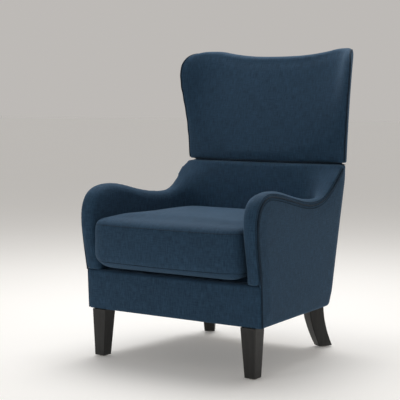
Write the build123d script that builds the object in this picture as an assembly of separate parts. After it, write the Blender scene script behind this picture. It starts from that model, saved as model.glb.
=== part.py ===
from build123d import *
import os
from math import pi, sin

# Wing-back armchair with swoop arms, a loose seat cushion and an upper back that reclines
# about a hinge at the split in the back.
# Millimetres, +Z up, the chair faces -Y, origin on the floor under the middle of the chair.
# Left and right are the sitter's, so left is +X. Left-hand pieces are drawn and mirrored.

# ------------------------------------------------------------------ driving dimensions
OVERALL_HEIGHT = 1060
BASE_Z = 165  # underside of the upholstered body
RAIL_TOP_Z = 300  # top of the padded front rail
SPLIT_Z = 652  # top of the fixed lower back
UPPER_Z = 657  # underside of the reclining upper back
FRONT_Y = -329  # front corners of the body
FRONT_HALF = 349  # half width at the front corners
SIDE_LENGTH = 580  # run over which the sides draw in
BASE_TAPER = 43  # how far each side draws in at the base
SPLIT_TAPER = 19  # and at the split
REAR_BASE_Y = 246
REAR_SPLIT_Y = 325
REAR_CORNER = 90  # plan radius of the rear corners
UPPER_LEAN = 0.138  # how far the rear of the upper back moves aft per mm of height
COVER = 8  # padded outer cover of the body
SHELL = 6  # rear cover of the upper back
FIT = 0.2  # gap between neighbouring pieces

ARM_INNER_FRONT = 294  # half width between the arms, front and rear
ARM_INNER_REAR = 287

CUSHION_HALF_FRONT = 291.5
CUSHION_HALF_REAR = 284.5
CUSHION_FRONT_Y = -381
CUSHION_CORNER_Y = -362
CUSHION_REAR_Y = 199.5
CUSHION_BOTTOM_Z = 312
CUSHION_TOP_Z = 497

HINGE_Y = 303
HINGE_Z = 683
HINGE_ROUND = 26  # radius of the rear lower edge of the upper back, about the hinge axis

# Arm outline in side view, as (y, z): the crest of the padded band over the arm, and the
# seam below it that joins the band to the outer side panel.
ARM_CREST = [
    (-335, 300), (-357, 405), (-368, 485), (-345, 562), (-270, 591),
    (-111, 569), (39, 548), (124, 562), (189, 616), (231, 652),
]
SIDE_SEAM = [
    (-326, 300), (-342, 390), (-351, 463), (-340, 530), (-286, 573), (-241, 573),
    (-107, 547), (37, 527), (111, 542), (183, 588), (256, 652),
]

# Half plans of the upper back, as (x, y): the front face from the middle out to the wing
# edge, then the outer face from the wing edge round to the flat of the rear.
UPPER_FRONT = {
    657: [(0, 214), (130, 217), (220, 226), (285, 237), (318, 245), (330, 251)],
    838: [(0, 268), (140, 267), (226, 263), (288, 252), (325, 242), (343, 243)],
    987: [(0, 316), (150, 315), (230, 309), (288, 287), (327, 248), (356, 228)],
    1062: [(0, 338), (150, 337), (232, 331), (292, 309), (334, 262), (359, 228)],
}
UPPER_OUTER = {
    657: [(330, 251), (321, 285), (292, 314), (238, 325)],
    838: [(343, 243), (327, 283), (296, 328), (243, 348)],
    987: [(356, 228), (336, 280), (300, 335), (246, 368)],
    1062: [(359, 228), (339, 283), (304, 343), (250, 378)],
}
TOP_OUTLINE = [  # (x, z) of the top edge, seen from the front
    (0, 1033), (130, 1038), (225, 1052), (290, 1060), (338, 1046), (357, 1018), (361, 975),
]
WING_NOSE = 77  # radius of the top front corner of each wing, seen from the side
WING_NOSE_Y = 304


# ------------------------------------------------------------------ helpers
def save(node, *shapes):
    """Write one node; several solids stay separate inside it."""
    solids = [solid for shape in shapes for solid in shape.solids()]
    export_step(solids[0] if len(solids) == 1 else Compound(children=solids), f"parts/{node}.step")


def left_right(node, left):
    save(node + "_left", left)
    save(node + "_right", mirrored(left))


def mirrored(shape):
    return mirror(shape, about=Plane.YZ)


def pair(shape):
    return [shape, mirrored(shape)]


def block(x, y, z):
    """Box from three (low, high) ranges."""
    centre = [(low + high) / 2 for low, high in (x, y, z)]
    return Pos(*centre) * Box(*[high - low for low, high in (x, y, z)])


def pin(radius, x, y, z):
    """Round bar along X between x = (low, high)."""
    return Pos((x[0] + x[1]) / 2, y, z) * Rot(0, 90, 0) * Cylinder(radius, x[1] - x[0])


def side_face(points):
    """Polygon in side view, from (y, z) points."""
    return make_face(Polyline(*[(0, y, z) for y, z in points], close=True).edges())


def side_curve_face(curve, corners):
    """Side-view face bounded by a smooth curve and straight runs through the corners."""
    smooth = Spline(*[(0, y, z) for y, z in curve])
    runs = Polyline(*[(0, y, z) for y, z in (curve[-1], *corners, curve[0])])
    return make_face(smooth.edges() + runs.edges())


def across(face, low, high):
    """Extrude a side-view face from x = low to x = high."""
    return Pos(low, 0, 0) * extrude(face, amount=high - low, dir=(1, 0, 0))


def side_x(y, z):
    """Half width of the outer side: square at the front, drawn in to the rear."""
    up = (z - BASE_Z) / (SPLIT_Z - BASE_Z)
    taper = BASE_TAPER + (SPLIT_TAPER - BASE_TAPER) * up
    return FRONT_HALF - taper * (y - FRONT_Y) / SIDE_LENGTH


def rear_y(z):
    """Rear face of the fixed body."""
    return REAR_BASE_Y + (REAR_SPLIT_Y - REAR_BASE_Y) * (z - BASE_Z) / (SPLIT_Z - BASE_Z)


def upper_rear_y(z):
    """Rear face of the upper back."""
    return REAR_SPLIT_Y + UPPER_LEAN * (z - SPLIT_Z)


def inner_x(y):
    """Inner face of the arm."""
    return ARM_INNER_FRONT + (ARM_INNER_REAR - ARM_INNER_FRONT) * (y - FRONT_Y) / SIDE_LENGTH


def side_block(y, z, outer, inner):
    """Piece of the left side between two surfaces, each given as x(y, z)."""
    sections = []
    for at in y:
        corners = [(outer(at, z[0]), at, z[0]), (outer(at, z[1]), at, z[1])]
        corners += [(inner(at, z[1]), at, z[1]), (inner(at, z[0]), at, z[0])]
        sections.append(make_face(Polyline(*corners, close=True).edges()))
    return loft(sections, ruled=True)


def side_board(y, z, depth, thickness):
    """Board that follows the left side, a depth below its outer surface."""
    return side_block(
        y, z, lambda a, b: side_x(a, b) - depth, lambda a, b: side_x(a, b) - depth - thickness
    )


def leaning_board(x, z, rear, back_off, thickness):
    """Board parallel to a leaning rear face, back_off in front of it."""
    low, high = z
    return across(
        side_face([
            (rear(low) - back_off - thickness, low), (rear(low) - back_off, low),
            (rear(high) - back_off, high), (rear(high) - back_off - thickness, high),
        ]),
        *x,
    )


def body_plan(z, inset):
    """Plan of the fixed body, open far ahead of the arms, with rounded rear corners."""
    ahead = FRONT_Y - 90
    rear = rear_y(z) - inset
    wide, narrow = side_x(ahead, z) - inset, side_x(rear, z) - inset
    corners = [(-wide, ahead), (wide, ahead), (narrow, rear), (-narrow, rear)]
    plan = make_face(Polyline(*corners, close=True).edges())
    return Pos(0, 0, z) * fillet(plan.vertices().sort_by(Axis.Y)[-2:], REAR_CORNER - inset)


def body_envelope(inset):
    return loft([body_plan(BASE_Z, inset), body_plan(SPLIT_Z, inset)], ruled=True)


def moved_in(points, amount):
    """Points of an outline shifted sideways, to the left of its direction of travel."""
    shifted = []
    for i, (x, y) in enumerate(points):
        before, after = Vector(*points[max(i - 1, 0)]), Vector(*points[min(i + 1, len(points) - 1)])
        along = (after - before).normalized()
        shifted.append((x - along.Y * amount, y + along.X * amount))
    return shifted


def upper_section(z, inset, ahead):
    """Plan of the upper back at one station, inset from its outer face and moved ahead of
    its front face."""
    front = [(x, y - ahead) for x, y in UPPER_FRONT[z]]
    outer = moved_in(UPPER_OUTER[z], inset)
    front[-1] = (outer[0][0], front[-1][1])
    full_front = [(-x, y) for x, y in reversed(front[1:])] + front
    edges = Spline(*full_front).edges()
    if ahead:
        edges += Line(front[-1], outer[0]).edges()
        edges += Line((-front[-1][0], front[-1][1]), (-outer[0][0], outer[0][1])).edges()
    edges += Spline(*outer).edges() + Spline(*[(-x, y) for x, y in outer]).edges()
    edges += Line(outer[-1], (-outer[-1][0], outer[-1][1])).edges()
    return Pos(0, 0, z) * make_face(edges)


def upper_loft(inset=0, ahead=0):
    return loft([upper_section(z, inset, ahead) for z in UPPER_FRONT])


def trim_upper(body, inset=0):
    """Trim a piece of the upper back to its top outline, its wing noses and its hinge round."""
    low, wide = UPPER_Z - 10, TOP_OUTLINE[-1][0] + 40
    top = [(x, 0, z) for x, z in TOP_OUTLINE]
    crown = Spline(*[(-x, y, z) for x, y, z in reversed(top[1:])], *top)
    shoulder = TOP_OUTLINE[-1][1]
    below = Polyline(top[-1], (wide, 0, shoulder), (wide, 0, low), (-wide, 0, low),
                     (-wide, 0, shoulder), (-top[-1][0], 0, shoulder))
    body &= extrude(make_face(crown.edges() + below.edges()), amount=500, dir=(0, 1, 0))
    nose_y, nose_z = WING_NOSE_Y - WING_NOSE, OVERALL_HEIGHT - WING_NOSE
    midway = WING_NOSE * sin(pi / 4)
    nose = ThreePointArc(
        (0, nose_y, nose_z),
        (0, WING_NOSE_Y - midway, nose_z + midway),
        (0, WING_NOSE_Y, OVERALL_HEIGHT),
    )
    behind = Polyline((0, WING_NOSE_Y, OVERALL_HEIGHT), (0, 450, OVERALL_HEIGHT), (0, 450, low),
                      (0, 120, low), (0, 120, nose_z), (0, nose_y, nose_z))
    body &= across(make_face(nose.edges() + behind.edges()), -wide, wide)
    corner = block((-wide, wide), (HINGE_Y, HINGE_Y + 60), (low, HINGE_Z))
    return body - (corner - pin(HINGE_ROUND - inset, (-wide, wide), HINGE_Y, HINGE_Z))


# ------------------------------------------------------------------ legs and their fixings
GLIDE_HEIGHT = 5
FRONT_LEG_TOP = (300, -300)
FRONT_LEG_FOOT = (304, -302)
REAR_LEG_TOP = (222, 225)
REAR_LEG_SPLAY = 30  # degrees the rear legs turn out
REAR_LEG_KICK = 45  # how far a rear foot stands beyond its top
BOLT_RADIUS = 4
FRONT_BLOCK = ((262, 336), (-317, -265.2), (168, 260))
REAR_BLOCK = ((190, 235.8), (185, 235), (168, 260))


def front_leg():
    top = Pos(*FRONT_LEG_TOP, BASE_Z) * RectangleRounded(57, 57, 4)
    foot = Pos(*FRONT_LEG_FOOT, GLIDE_HEIGHT) * RectangleRounded(40, 40, 3)
    return loft([top, foot], ruled=True)


def rear_foot(share):
    """Centre of a rear leg, share of the way down; it curves aft and outward."""
    kick = Vector(0, REAR_LEG_KICK * share**1.8).rotate(Axis.Z, -REAR_LEG_SPLAY)
    return REAR_LEG_TOP[0] + kick.X, REAR_LEG_TOP[1] + kick.Y


def rear_leg():
    sections = []
    for share in (0, 0.3, 0.6, 0.8, 1):
        z = BASE_Z + (GLIDE_HEIGHT - BASE_Z) * share
        shape = RectangleRounded(56 - 18 * share, 58 - 6 * share, 3)
        sections.append(Pos(*rear_foot(share), z) * Rot(0, 0, -REAR_LEG_SPLAY) * shape)
    return loft(sections)


def glide(x, y):
    return Pos(x, y, 0) * extrude(Circle(12), GLIDE_HEIGHT)


def hanger_bolt(x, y):
    return Pos(x, y, 120) * extrude(Circle(BOLT_RADIUS), 100)


def leg_screws(centre):
    """Four countersunk screws up through a leg plate into its corner block."""
    upward = (Align.CENTER, Align.CENTER, Align.MIN)
    screw = Cone(4, 2, 2.4, align=upward) + Cylinder(2, 22, align=upward)
    places = [(dx, dy) for dx in (-16, 16) for dy in (-16, 16)]
    return [Pos(centre[0] + dx, centre[1] + dy, BASE_Z) * screw for dx, dy in places]


def leg_plate(centre, bolt_at):
    plate = Pos(*centre, BASE_Z) * extrude(RectangleRounded(44, 46, 4), 3)
    return plate - hanger_bolt(*bolt_at)


front_plate_at = (FRONT_LEG_TOP[0] - 4, FRONT_LEG_TOP[1] + 6)
rear_plate_at = (REAR_LEG_TOP[0] - 9, REAR_LEG_TOP[1] - 15)
rear_bolt_at = (REAR_LEG_TOP[0] - 6, REAR_LEG_TOP[1] - 9)
front_screws = leg_screws(front_plate_at)
rear_screws = leg_screws(rear_plate_at)
front_bolt = hanger_bolt(*FRONT_LEG_TOP)
rear_bolt = hanger_bolt(*rear_bolt_at)
front_plate = leg_plate(front_plate_at, FRONT_LEG_TOP) - front_screws
rear_plate = leg_plate(rear_plate_at, rear_bolt_at) - rear_screws

left_right("leg_front", front_leg() - front_bolt)
left_right("leg_rear", rear_leg() - rear_bolt)
save("leg_glides", *pair(glide(*FRONT_LEG_FOOT)), *pair(glide(*rear_foot(1))))
save("leg_hanger_bolts", *pair(front_bolt), *pair(rear_bolt))
save("leg_mount_plates", *pair(front_plate), *pair(rear_plate))
save("leg_plate_screws", *[piece for screw in front_screws + rear_screws for piece in pair(screw)])

# ------------------------------------------------------------------ seat frame
RAIL_LOW_Z, RAIL_HIGH_Z = 172, 268
front_block = block(*FRONT_BLOCK) - front_bolt - front_screws
rear_block = block(*REAR_BLOCK) - rear_bolt - rear_screws
save("corner_blocks", *pair(front_block), *pair(rear_block))

outer_body = body_envelope(0)
inner_body = body_envelope(COVER)
front_rail_edge = FRONT_BLOCK[0][0] - FIT
rear_rail_edge = REAR_BLOCK[0][0] - FIT
front_rail = block((-front_rail_edge, front_rail_edge), (-317, -289), (RAIL_LOW_Z, RAIL_HIGH_Z))
rear_rail = block((-rear_rail_edge, rear_rail_edge), (198, 226), (RAIL_LOW_Z, RAIL_HIGH_Z))
side_rail = side_board((-265, 179.8), (RAIL_LOW_Z, RAIL_HIGH_Z), 12, 32) & inner_body
save("front_seat_rail", front_rail)
save("rear_seat_rail", rear_rail)
left_right("side_seat_rail", side_rail)

# ------------------------------------------------------------------ sinuous springs
SPRING_WIRE = 1.9
SPRING_Z = RAIL_HIGH_Z + 2.2
SPRING_FRONT_Y, SPRING_REAR_Y = -303, 212
SPRING_STEPS = 14
SPRING_SWING = 21
SPRING_X = (-170, -85, 0, 85, 170)


def spring(x):
    """Flat zigzag of round wire from the front rail to the rear rail."""
    pitch = (SPRING_REAR_Y - SPRING_FRONT_Y) / SPRING_STEPS
    points = []
    for step in range(SPRING_STEPS):
        side = SPRING_SWING if step % 2 else -SPRING_SWING
        y = SPRING_FRONT_Y + pitch * step
        points += [(x + side, y, SPRING_Z), (x + side, y + pitch, SPRING_Z)]
    path = FilletPolyline(*points, radius=pitch * 0.42)
    start = Plane(origin=points[0], z_dir=(0, 1, 0))
    return sweep(start * Circle(SPRING_WIRE), path)


def spring_clip(x, y):
    """Bent steel clip nailed to a rail, holding one end run of a spring."""
    outside = Pos(x, y, RAIL_HIGH_Z + 3) * Box(16, 14, 6)
    return outside - Pos(x, y, RAIL_HIGH_Z + 2.1) * Box(5, 20, 4.4)


springs = [spring(x) for x in SPRING_X]
save("seat_springs", *springs)
save("spring_clips", *[spring_clip(x - SPRING_SWING, SPRING_FRONT_Y + 7) for x in SPRING_X],
     *[spring_clip(x + SPRING_SWING, SPRING_REAR_Y - 7) for x in SPRING_X])

# ------------------------------------------------------------------ arm frames and back posts
POST_TOP_Z = 640
back_post = loft([
    make_face(Polyline((236, 180, 168), (272, 180, 168), (272, 214, 168), (236, 214, 168),
                       close=True).edges()),
    make_face(Polyline((236, 264, POST_TOP_Z), (283, 264, POST_TOP_Z), (283, 299, POST_TOP_Z),
                       (236, 299, POST_TOP_Z), close=True).edges()),
], ruled=True)
arm_post = side_board((-317, -265.2), (FRONT_BLOCK[2][1] + FIT, 535), 12, 28)
arm_rail_top = [(y, z - 30) for y, z in ARM_CREST[4:9]]
arm_rail_low = [(y, z - 85) for y, z in reversed(ARM_CREST[4:9])]
arm_rail_face = make_face(
    Spline(*[(0, y, z) for y, z in arm_rail_top]).edges()
    + Spline(*[(0, y, z) for y, z in arm_rail_low]).edges()
    + Line((0, *arm_rail_top[-1]), (0, *arm_rail_low[0])).edges()
    + Line((0, *arm_rail_low[-1]), (0, *arm_rail_top[0])).edges()
)
arm_rail = side_board((-290, 230), (400, 640), 12, 26) & across(arm_rail_face, 200, 360)
arm_rail = arm_rail & block((200, 360), (-265, 240), (400, 640))
left_right("arm_post", arm_post)
left_right("arm_top_rail", arm_rail)

# ------------------------------------------------------------------ arms and side panels
arm_limits = side_curve_face(
    ARM_CREST[:-1] + [(220, POST_TOP_Z)],
    [(rear_y(POST_TOP_Z) - 60, POST_TOP_Z), (rear_y(RAIL_TOP_Z) - 60, RAIL_TOP_Z + FIT),
     (ARM_CREST[0][0], RAIL_TOP_Z + FIT)],
)
arm_pad = side_block(
    (-400, 300), (RAIL_TOP_Z, SPLIT_Z),
    lambda y, z: side_x(y, z) - COVER - FIT, lambda y, z: inner_x(y),
) & across(arm_limits, 250, 380)
arm_pad = (arm_pad & body_envelope(COVER + FIT)) - arm_post - arm_rail - back_post
left_right("arm_pad", arm_pad)

panel_limits = side_curve_face(
    SIDE_SEAM, [(400, SPLIT_Z), (400, BASE_Z), (-319, BASE_Z)]
)
body_skin = outer_body - inner_body
PANEL_EDGE_X = 200  # the side panels wrap the rear corners as far in as this
side_panel = body_skin & across(panel_limits, PANEL_EDGE_X + FIT, 400)
left_right("side_panel", side_panel)
rear_panel = body_skin & block((-PANEL_EDGE_X, PANEL_EDGE_X), (100, 400), (BASE_Z, SPLIT_Z))
save("lower_rear_panel", rear_panel)

welt_outer = moved_in(SIDE_SEAM[:-1], 5)
welt_inner = moved_in(SIDE_SEAM[:-1], FIT)
welt_face = make_face(
    Spline(*[(0, y, z) for y, z in welt_outer]).edges()
    + Spline(*[(0, y, z) for y, z in welt_inner]).edges()
    + Line((0, *welt_outer[0]), (0, *welt_inner[0])).edges()
    + Line((0, *welt_outer[-1]), (0, *welt_inner[-1])).edges()
)
arm_welt = side_board((-380, 260), (RAIL_TOP_Z, SPLIT_Z), 2, 5) & across(welt_face, 300, 380)
arm_welt -= side_panel
left_right("arm_welt", arm_welt)

# ------------------------------------------------------------------ front rail and deck
roll_profile = side_face([
    (-328, BASE_Z), (-334, RAIL_TOP_Z), (-262, RAIL_TOP_Z), (-262, 276), (-318, 276), (-318, BASE_Z)
])
front_roll = across(roll_profile, -FRONT_HALF, FRONT_HALF) & outer_body
for side in (side_panel, arm_post):
    front_roll = front_roll - side - mirrored(side)
save("front_rail_cover", front_roll)

DECK = ((-284, 284), (-261.5, 198))
felt = block(*DECK, (275, 278.5)) - back_post - mirrored(back_post)
deck_pad = block(*DECK, (279, 309)) - back_post - mirrored(back_post)
deck_cloth = block(*DECK, (309, 310.5)) - back_post - mirrored(back_post)
save("deck_felt", felt)
save("deck_pad", deck_pad)
save("deck_cloth", deck_cloth)

dust = (Pos(0, 0, BASE_Z) * extrude(body_plan(0, COVER + 1), 1.2)) & block(
    (-400, 400), (-317, 400), (BASE_Z, BASE_Z + 1.2)
)
for plate in (front_plate_at, rear_plate_at):
    opening = Pos(*plate, BASE_Z) * extrude(RectangleRounded(46, 48, 4), 3)
    dust = dust - opening - mirrored(opening)
save("dust_cover", dust)


# ------------------------------------------------------------------ lower back
BOARD = 26  # thickness of the back rails
BOARD_OFF = 10  # gap between a rear face and the rails in front of it
STRAP = 2
STRAP_WIDTH = 50
PLATE_X = (231, 236)  # the fixed hinge plates lie on the inner faces of the back posts
SWING_PLATE_X = (225, 229.8)
LOWER_RAILS_Z = ((316, 356), (596, 640))
UPPER_RAILS_Z = ((715, 755), (930, 975))
CAP_Z = POST_TOP_Z + 1

hinge_bolt_hole = pin(BOLT_RADIUS + FIT, (210, 245), HINGE_Y, HINGE_Z)
fixed_plate = across(side_face([(246, 530), (276, 530), (315, HINGE_Z), (291, HINGE_Z)]), *PLATE_X)
fixed_plate += pin(12, PLATE_X, HINGE_Y, HINGE_Z)
swing_plate = across(
    side_face([(289, HINGE_Z), (317, HINGE_Z), (334, 805), (310, 805)]), *SWING_PLATE_X
)
swing_plate += pin(14, SWING_PLATE_X, HINGE_Y, HINGE_Z)


def plate_screw(face_x, toward, y, z):
    """Pan-head screw along X: its head on the plate's free face, its shaft toward the post."""
    head = pin(4.5, sorted((face_x, face_x - 2.6 * toward)), y, z)
    return head + pin(2.2, sorted((face_x, face_x + 24 * toward)), y, z)


fixed_screws = [plate_screw(PLATE_X[0], 1, 264 + step * 5.5, 540 + step * 20) for step in range(3)]
swing_screws = [plate_screw(SWING_PLATE_X[1], -1, 317 + step * 3, 770 + step * 18) for step in range(2)]
fixed_plate = fixed_plate - hinge_bolt_hole - fixed_screws
swing_plate = swing_plate - hinge_bolt_hole - swing_screws
hinge_bolt = pin(BOLT_RADIUS, (217, PLATE_X[1]), HINGE_Y, HINGE_Z)
hex_end = Rot(0, 90, 0) * extrude(RegularPolygon(7.5, 6), 5)
hinge_bolt += Pos(PLATE_X[1], HINGE_Y, HINGE_Z) * hex_end
hinge_nut = (Pos(218.5, HINGE_Y, HINGE_Z) * hex_end) - pin(BOLT_RADIUS, (210, 240), HINGE_Y, HINGE_Z)
washer = pin(11, (SWING_PLATE_X[1] + FIT, PLATE_X[0]), HINGE_Y, HINGE_Z) - hinge_bolt_hole

save("hinge_fixed_plates", *pair(fixed_plate))
save("hinge_swing_plates", *pair(swing_plate))
save("hinge_bolts", *pair(hinge_bolt))
save("hinge_lock_nuts", *pair(hinge_nut))
save("hinge_friction_washers", *pair(washer))
save("hinge_fixed_screws", *[piece for screw in fixed_screws for piece in pair(screw)])
save("hinge_swing_screws", *[piece for screw in swing_screws for piece in pair(screw)])

left_right("back_post", back_post - fixed_screws)


def straps(spread, z, rear):
    """Five upright webbing straps tacked across the front of a pair of rails."""
    middles = [spread * step for step in (-2, -1, 0, 1, 2)]
    half = STRAP_WIDTH / 2
    off = BOARD_OFF + BOARD + FIT
    return [leaning_board((x - half, x + half), z, rear, off, STRAP) for x in middles]


lower_rail_half = PLATE_X[0] - FIT
for node, z in zip(("lower_back_bottom_rail", "lower_back_top_rail"), LOWER_RAILS_Z):
    save(node, leaning_board((-lower_rail_half, lower_rail_half), z, rear_y, BOARD_OFF, BOARD))
save("lower_back_webbing", *straps(84, (LOWER_RAILS_Z[0][0], LOWER_RAILS_Z[1][1]), rear_y))

PAD_BACK_OFF = BOARD_OFF + BOARD + STRAP + 3
lower_pad = across(
    side_face([
        (202, 312), (212, 480), (214, 636), (224, SPLIT_Z),
        (rear_y(SPLIT_Z) - COVER - FIT, SPLIT_Z), (rear_y(CAP_Z) - COVER - FIT, CAP_Z),
        (rear_y(CAP_Z) - PAD_BACK_OFF, CAP_Z), (rear_y(312) - PAD_BACK_OFF, 312),
    ]),
    -286, 286,
)
cap_face = side_face([(217, CAP_Z), (231, SPLIT_Z), (400, SPLIT_Z), (400, CAP_Z)])
lower_pad += body_envelope(COVER + FIT) & across(cap_face, -400, 400)
lower_pad &= body_envelope(COVER + FIT)
for piece in (back_post, fixed_plate, *fixed_screws):
    lower_pad = lower_pad - piece - mirrored(piece)
save("lower_back_pad", lower_pad)

# ------------------------------------------------------------------ upper back
upper_outer = upper_loft()
upper_inner = upper_loft(inset=SHELL, ahead=40)
upper_core = upper_loft(inset=SHELL + FIT, ahead=40)

rails = []
for node, z, half in zip(("upper_back_bottom_rail", "upper_back_top_rail"), UPPER_RAILS_Z, (281.8, 297.8)):
    rail = leaning_board((-half, half), z, upper_rear_y, BOARD_OFF, BOARD) & upper_core
    rail = rail - swing_plate - mirrored(swing_plate)
    save(node, rail)
    rails.append(rail)
upper_post = leaning_board(
    (189, SWING_PLATE_X[0] - FIT), (UPPER_RAILS_Z[0][1] + FIT, UPPER_RAILS_Z[1][0] - FIT),
    upper_rear_y, BOARD_OFF, BOARD,
) - swing_screws
left_right("upper_back_post", upper_post)
save("upper_back_webbing", *straps(74, (UPPER_RAILS_Z[0][0], UPPER_RAILS_Z[1][1]), upper_rear_y))


def wing_level(z, points):
    return make_face(Polyline(*[(x, y, z) for x, y in points], close=True).edges())


wing_board = loft([
    wing_level(700, [(284, 300), (296, 300), (306, 262), (294, 262)]),
    wing_level(972, [(276, 330), (288, 330), (305, 292), (293, 292)]),
], ruled=True)
left_right("wing_board", wing_board)

upper_pad = trim_upper(upper_outer & upper_core, SHELL + FIT)
upper_pad -= leaning_board((-262, 262), (664, 992), upper_rear_y, 0, PAD_BACK_OFF)
plate_notch = block((229.5, 237.5), (278, 340), (650, HINGE_Z))
hinge_pocket = pin(18, (214, 246), HINGE_Y, HINGE_Z)
for piece in (wing_board, plate_notch, hinge_pocket):
    upper_pad = upper_pad - piece - mirrored(piece)
for rail in rails:
    upper_pad -= rail
save("upper_back_pad", upper_pad)

upper_shell = trim_upper(upper_outer - upper_inner)
upper_shell = upper_shell - plate_notch - mirrored(plate_notch)
save("upper_rear_panel", upper_shell)

WING_WELT = 2.8  # radius of the piping down each wing edge
welt_sections = [
    Pos(UPPER_FRONT[z][-1][0] + 3.4, UPPER_FRONT[z][-1][1] - 2.8, z) * RegularPolygon(WING_WELT, 8)
    for z in (657, 838, 987)
]
left_right("wing_welt", loft(welt_sections, ruled=True))

GUSSET_INSET = 12
edge_line = [(-x, y) for x, y in reversed(UPPER_FRONT[657][1:])] + UPPER_FRONT[657]
gusset_line = moved_in(edge_line, GUSSET_INSET) + moved_in(edge_line, GUSSET_INSET + STRAP)[::-1]
gusset = make_face(Polyline(*gusset_line, close=True).edges())
save("split_gusset", Pos(0, 0, SPLIT_Z + 0.5) * extrude(gusset, UPPER_Z - SPLIT_Z - 1))


# ------------------------------------------------------------------ seat cushion
CUSHION_CLOTH = 2.5


def cushion_form(inset):
    """Box cushion with a bowed front, rounded corners and softened top and bottom edges."""
    front_half, rear_half = CUSHION_HALF_FRONT - inset, CUSHION_HALF_REAR - inset
    corner_y, rear = CUSHION_CORNER_Y + inset, CUSHION_REAR_Y - inset
    bow = ThreePointArc((-front_half, corner_y), (0, CUSHION_FRONT_Y + inset), (front_half, corner_y))
    rest = Polyline((front_half, corner_y), (rear_half, rear), (-rear_half, rear), (-front_half, corner_y))
    height = CUSHION_TOP_Z - CUSHION_BOTTOM_Z - 2 * inset
    form = extrude(make_face(bow.edges() + rest.edges()), height)
    form = fillet(form.edges().filter_by(Axis.Z), 30 - inset)
    form = fillet(form.faces().sort_by(Axis.Z)[-1].edges(), 26 - inset)
    form = fillet(form.faces().sort_by(Axis.Z)[0].edges(), 20 - inset)
    return Pos(0, 0, CUSHION_BOTTOM_Z + inset) * form


save("seat_cushion_cover", cushion_form(0) - cushion_form(CUSHION_CLOTH))
save("seat_cushion_core", cushion_form(CUSHION_CLOTH + FIT))
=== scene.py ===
from math import atan, cos, degrees, pi, radians, sin, sqrt, tan

import bmesh
import bpy
import numpy as np
from numpy import linspace
from numpy.linalg import norm
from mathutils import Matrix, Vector
from mathutils.bvhtree import BVHTree


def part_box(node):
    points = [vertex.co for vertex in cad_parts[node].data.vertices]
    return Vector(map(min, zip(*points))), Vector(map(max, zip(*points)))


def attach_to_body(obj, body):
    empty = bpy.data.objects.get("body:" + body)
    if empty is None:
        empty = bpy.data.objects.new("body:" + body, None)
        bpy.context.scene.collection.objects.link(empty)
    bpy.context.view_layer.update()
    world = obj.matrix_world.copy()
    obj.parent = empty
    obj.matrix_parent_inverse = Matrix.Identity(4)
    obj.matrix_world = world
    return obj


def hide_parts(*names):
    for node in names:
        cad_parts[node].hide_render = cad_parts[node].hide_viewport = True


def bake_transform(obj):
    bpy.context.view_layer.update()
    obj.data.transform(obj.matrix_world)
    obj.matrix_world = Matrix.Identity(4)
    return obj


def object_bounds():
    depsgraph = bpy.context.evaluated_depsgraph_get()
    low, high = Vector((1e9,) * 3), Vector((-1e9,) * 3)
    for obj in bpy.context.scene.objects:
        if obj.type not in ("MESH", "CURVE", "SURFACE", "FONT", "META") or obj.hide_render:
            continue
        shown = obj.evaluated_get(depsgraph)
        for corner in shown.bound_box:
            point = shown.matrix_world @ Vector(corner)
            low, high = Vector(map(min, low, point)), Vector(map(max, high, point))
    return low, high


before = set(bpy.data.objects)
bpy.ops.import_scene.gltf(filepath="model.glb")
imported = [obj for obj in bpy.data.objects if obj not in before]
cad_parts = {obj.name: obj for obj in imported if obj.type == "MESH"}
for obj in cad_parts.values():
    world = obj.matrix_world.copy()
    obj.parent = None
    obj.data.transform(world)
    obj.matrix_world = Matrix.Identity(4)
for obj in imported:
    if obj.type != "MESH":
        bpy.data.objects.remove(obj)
cad_low, cad_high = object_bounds()

# The chair faces -Y, +X is the sitter's left and Z is up. Metres throughout.

# ---- driving places
MM = 0.001
BASE_Z, RAIL_TOP_Z = (corner.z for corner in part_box("front_rail_cover"))
SPLIT_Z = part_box("lower_back_pad")[1].z
UPPER_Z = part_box("upper_back_pad")[0].z
TOP_Z = cad_high.z
FRONT_HALF = 349 * MM  # half width at the front corners, at FRONT_Y
FRONT_Y = -329 * MM
SIDE_LENGTH = 580 * MM
BASE_TAPER, SPLIT_TAPER = 43 * MM, 19 * MM
REAR_BASE_Y, REAR_SPLIT_Y = 246 * MM, 325 * MM
REAR_CORNER = 90 * MM
REAR_SEAM_X = 200 * MM  # the side panels wrap the rear corners as far in as this
ARM_INNER_FRONT, ARM_INNER_REAR = 294 * MM, 287 * MM
HINGE_Y, HINGE_Z = 303 * MM, 683 * MM
HINGE_ROUND = 26 * MM
WELT = 3.2 * MM  # radius of the piping
PANEL = 5 * MM  # thickness of the sewn panels
VOXEL = 5.5 * MM  # mesh size of the simulated pieces
PRESSURE, SEAT_PRESSURE = 3.0, 4.0  # that swell the padding

# side view of the arm, as (y, z): crest of the padded band, and the seam to the side panel
ARM_CREST = np.array([
    (-335, 300), (-357, 405), (-368, 485), (-345, 562), (-270, 591),
    (-111, 569), (39, 548), (124, 562), (189, 616), (231, 652),
]) * MM
SIDE_SEAM = np.array([
    (-326, 300), (-342, 390), (-351, 463), (-340, 530), (-286, 573), (-241, 573),
    (-107, 547), (37, 527), (111, 542), (183, 588), (256, 652),
]) * MM

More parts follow.
